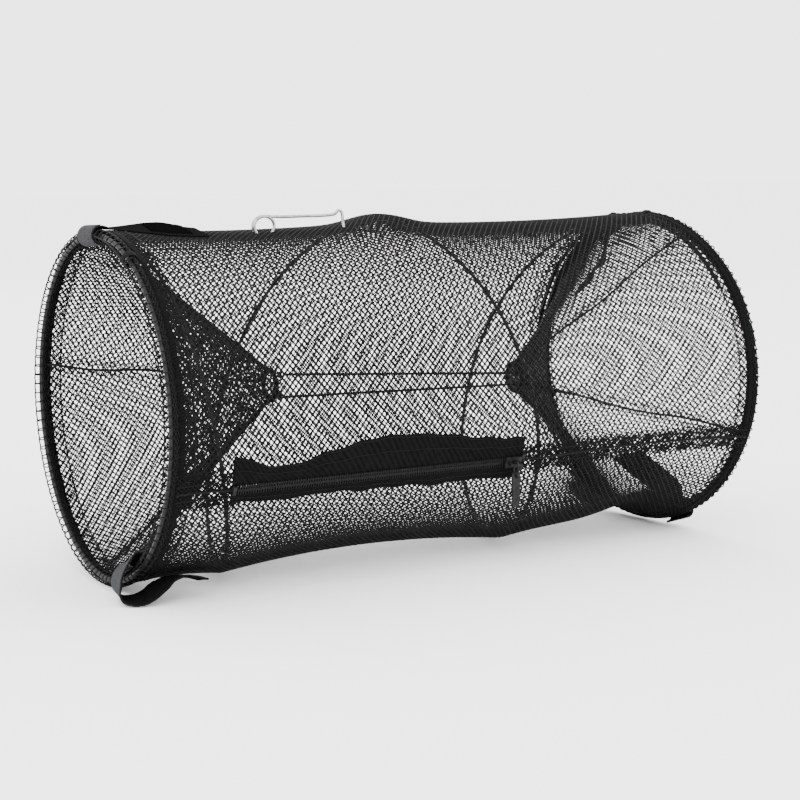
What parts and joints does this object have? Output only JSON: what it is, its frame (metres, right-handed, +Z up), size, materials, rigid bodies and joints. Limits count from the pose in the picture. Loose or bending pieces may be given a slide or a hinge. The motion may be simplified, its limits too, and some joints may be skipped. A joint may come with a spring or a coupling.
{
  "type": "folding crab trap",
  "caption": "Collapsible tubular crab trap: netting round a spring coil between wire end hoops, funnel entrances, side zipper, bait clip and hook-and-loop straps.",
  "frame": {"origin": "the point where the left end hoop rests on the floor", "axes": "+X along the trap from the left hoop, whose plane is x = 0, to the right hoop; +Z up; the zipper is on the -Y side"},
  "size_m": [0.5066, 0.2549, 0.2641],
  "materials": {
    "netting": "knotted nylon netting, matt black",
    "hem": "folded netting hem, stitched",
    "spring_steel": "black coated spring wire",
    "zip_tape": "woven tape",
    "zip_teeth": "moulded coil teeth",
    "zip_metal": "black enamelled zinc",
    "cord": "braided cord",
    "webbing": "woven strap",
    "fuzzy_pad": "looped pile",
    "bright_wire": "bright drawn wire"
  },
  "bodies": {
    "end_left": {"end_hoop_left": "spring_steel", "hem_left": "hem", "hoop_tie_left": "cord", "spring_coil": "spring_steel", "body_netting": "netting", "seam_strip_left": "netting", "seam_strip_right": "netting", "funnel_netting_left": "netting", "funnel_netting_right": "netting", "throat_cord_upper": "cord", "throat_cord_lower": "cord", "zipper_tape_upper": "zip_tape", "zipper_tape_lower": "zip_tape", "zipper_teeth_upper": "zip_teeth", "zipper_teeth_lower": "zip_teeth"},
    "end_right": {"hoop_tie_right": "cord"},
    "hoop_right": {"end_hoop_right": "spring_steel", "hem_right": "hem"},
    "throat_left": {"throat_hem_left": "hem", "throat_cord_upper_knot_left": "cord", "throat_cord_lower_knot_left": "cord"},
    "throat_right": {"throat_hem_right": "hem", "throat_cord_upper_knot_right": "cord", "throat_cord_lower_knot_right": "cord"},
    "bait_clip": {"bait_clip_frame": "bright_wire"},
    "bait_clip_pin": {"bait_clip_pin": "bright_wire"},
    "zipper_start": {"zipper_bottom_stop": "zip_metal"},
    "zipper_end": {"zipper_top_stop_upper": "zip_metal", "zipper_top_stop_lower": "zip_metal"},
    "zipper_slider": {"zipper_slider": "zip_metal"},
    "zipper_pull": {"zipper_pull_link": "zip_metal", "zipper_pull_tab": "zip_metal"},
    "strap_left_top": {"strap_loop_left_top": "fuzzy_pad", "strap_flap_left_top": "webbing", "strap_pad_left_top": "fuzzy_pad"},
    "strap_left_bottom": {"strap_loop_left_bottom": "fuzzy_pad", "strap_flap_left_bottom": "webbing", "strap_pad_left_bottom": "fuzzy_pad"},
    "strap_right_near": {"strap_loop_right_near": "fuzzy_pad", "strap_flap_right_near": "webbing", "strap_pad_right_near": "fuzzy_pad"},
    "strap_right_far": {"strap_loop_right_far": "fuzzy_pad", "strap_flap_right_far": "webbing", "strap_pad_right_far": "fuzzy_pad"}
  },
  "joints": [
    {"name": "fold", "type": "slide", "parent": "end_left", "child": "end_right", "axis": [-1, 0, 0], "range_m": [0, 0.427], "stiffness_N_per_m": 30, "springref_m": -0.15, "deforming": ["body_netting", "spring_coil", "seam_strip_left", "seam_strip_right", "funnel_netting_left", "funnel_netting_right", "throat_cord_upper", "throat_cord_lower", "zipper_tape_upper", "zipper_tape_lower", "zipper_teeth_upper", "zipper_teeth_lower"]},
    {"name": "hoop_square", "type": "hinge", "parent": "end_right", "child": "hoop_right", "pos_m": [0.475, 0, 0.127], "axis": [0, 0, 1], "range_deg": [-6.7, 0.1]},
    {"name": "throat_left_follow", "type": "slide", "parent": "end_left", "child": "throat_left", "axis": [-1, 0, 0], "range_m": [-0.0005, 0.11916]},
    {"name": "throat_right_follow", "type": "slide", "parent": "end_left", "child": "throat_right", "axis": [-1, 0, 0], "range_m": [-0.0005, 0.31333]},
    {"name": "zipper_start_follow", "type": "slide", "parent": "end_left", "child": "zipper_start", "axis": [-1, 0, 0], "range_m": [-0.0005, 0.0414]},
    {"name": "zipper_end_follow", "type": "slide", "parent": "end_left", "child": "zipper_end", "axis": [-1, 0, 0], "range_m": [-0.0005, 0.24861]},
    {"name": "clip_turn", "type": "hinge", "parent": "throat_left", "child": "bait_clip", "pos_m": [0.12425, -0.02075, 0.2523], "axis": [0, 0, -1], "range_deg": [-0.2, 90.2]},
    {"name": "strap_right_near_lay", "type": "hinge", "parent": "hoop_right", "child": "strap_right_near", "pos_m": [0.47968, -0.04042, 0.01209], "axis": [-0.1083, 0.9364, -0.3338], "range_deg": [-0.2, 44.2]},
    {"name": "strap_right_far_lay", "type": "hinge", "parent": "hoop_right", "child": "strap_right_far", "pos_m": [0.46953, 0.04731, 0.23921], "axis": [0.1058, -0.9144, 0.3907], "range_deg": [-0.2, 44.2]},
    {"name": "zipper_travel", "type": "slide", "parent": "zipper_end", "child": "zipper_slider", "axis": [1, 0, 0], "range_m": [-0.214, 0]},
    {"name": "pull_swing", "type": "hinge", "parent": "zipper_slider", "child": "zipper_pull", "pos_m": [0.268, -0.12413, 0.08182], "axis": [-1, 0, 0], "range_deg": [-10, 140]},
    {"name": "pin_open", "type": "hinge", "parent": "bait_clip", "child": "bait_clip_pin", "pos_m": [0.1215, -0.01595, 0.2449], "axis": [0, 0.6, 0.8], "range_deg": [0, 17], "stiffness_Nm_per_rad": 0.05},
    {"name": "strap_left_top_swing", "type": "hinge", "parent": "end_left", "child": "strap_left_top", "pos_m": [0, 0.0085, 0.2486], "axis": [0, -0.9976, 0.0698], "range_deg": [0, 150]},
    {"name": "strap_left_bottom_swing", "type": "hinge", "parent": "end_left", "child": "strap_left_bottom", "pos_m": [0, -0.06278, 0.02251], "axis": [0, 0.8572, -0.515], "range_deg": [0, 8]}
  ],
  "couplings": [
    {"joint": "hoop_square", "follows": "fold", "rad_per_m": -0.26977},
    {"joint": "throat_left_follow", "follows": "fold", "ratio": 0.2779},
    {"joint": "throat_right_follow", "follows": "fold", "ratio": 0.73263},
    {"joint": "zipper_start_follow", "follows": "fold", "ratio": 0.095789},
    {"joint": "zipper_end_follow", "follows": "fold", "ratio": 0.58105},
    {"joint": "clip_turn", "follows": "fold", "rad_per_m": 3.6787},
    {"joint": "strap_right_near_lay", "follows": "fold", "rad_per_m": 1.7985},
    {"joint": "strap_right_far_lay", "follows": "fold", "rad_per_m": 1.7985}
  ]
}
